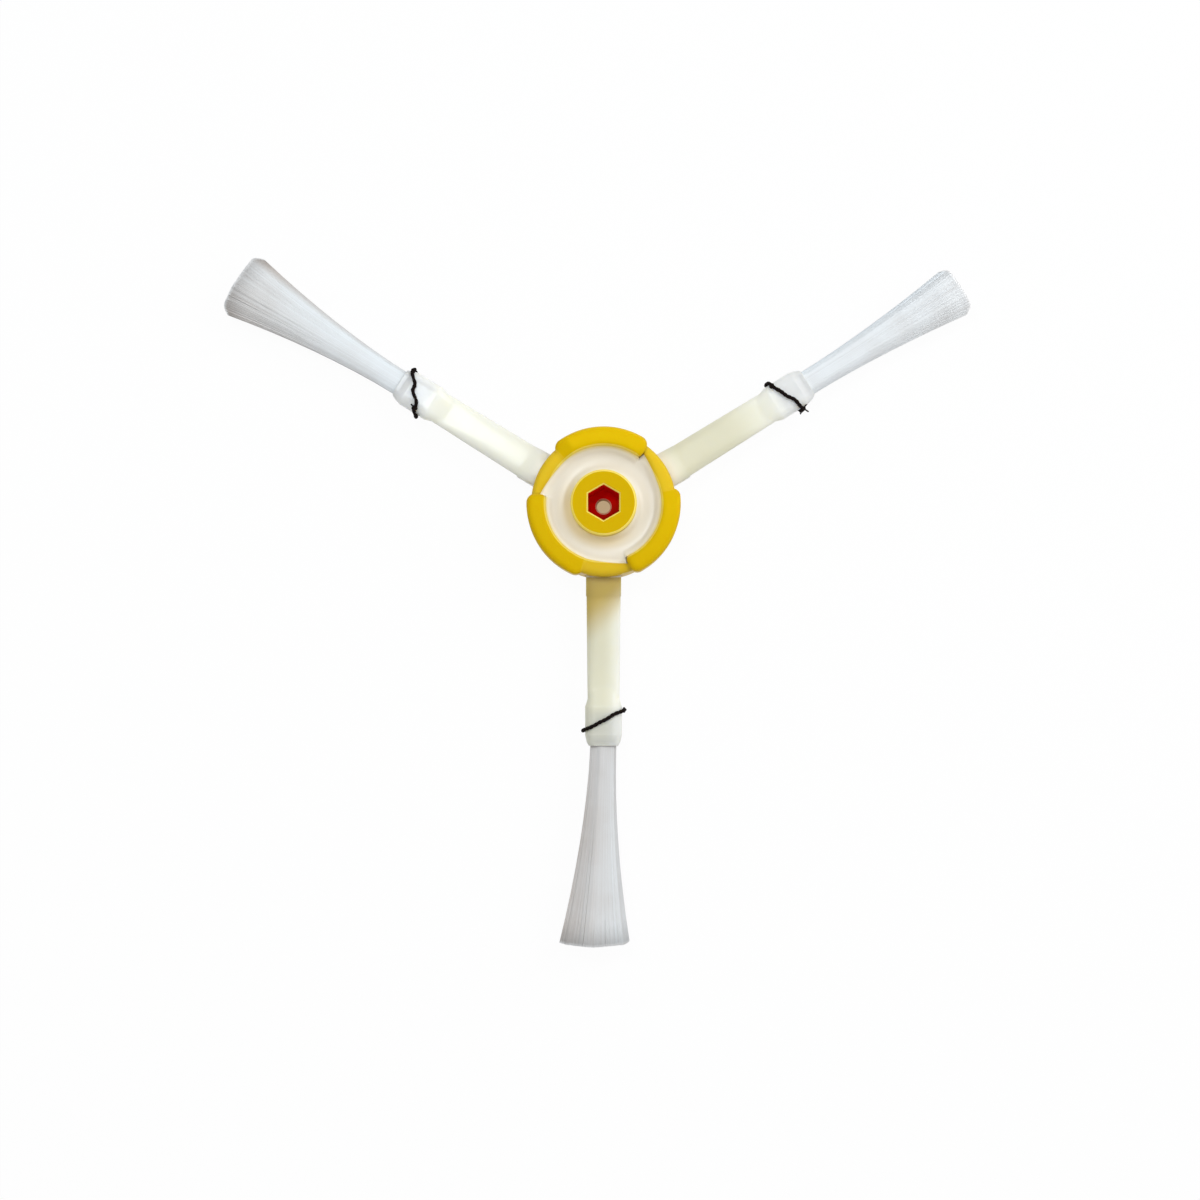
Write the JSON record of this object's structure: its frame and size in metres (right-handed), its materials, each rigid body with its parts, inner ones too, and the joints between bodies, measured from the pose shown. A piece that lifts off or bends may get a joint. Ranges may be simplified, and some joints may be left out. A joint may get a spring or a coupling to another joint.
{
  "type": "robot vacuum side brush",
  "caption": "Rotary side brush for a robot vacuum: rigid hub with a hexagonal drive socket, soft flat arms, and flared bristle tufts tied on with thread.",
  "frame": {"origin": "middle of the drive socket's floor, which is the upper end of the screw hole", "axes": "+Z along the drive axis, towards the robot; one arm points along -Y, the other two lie 120 degrees to either side of it"},
  "size_m": [0.1627, 0.149, 0.0155],
  "materials": {
    "hub_plastic": "satin",
    "soft_white": "satin",
    "filament": "satin",
    "black_thread": "matte"
  },
  "bodies": {
    "root": {"hub": "hub_plastic", "arm_spider": "soft_white", "bristle_tuft_1": "filament", "bristle_tuft_2": "filament", "bristle_tuft_3": "filament", "retaining_thread_1": "black_thread", "retaining_thread_2": "black_thread", "retaining_thread_3": "black_thread"}
  },
  "joints": []
}
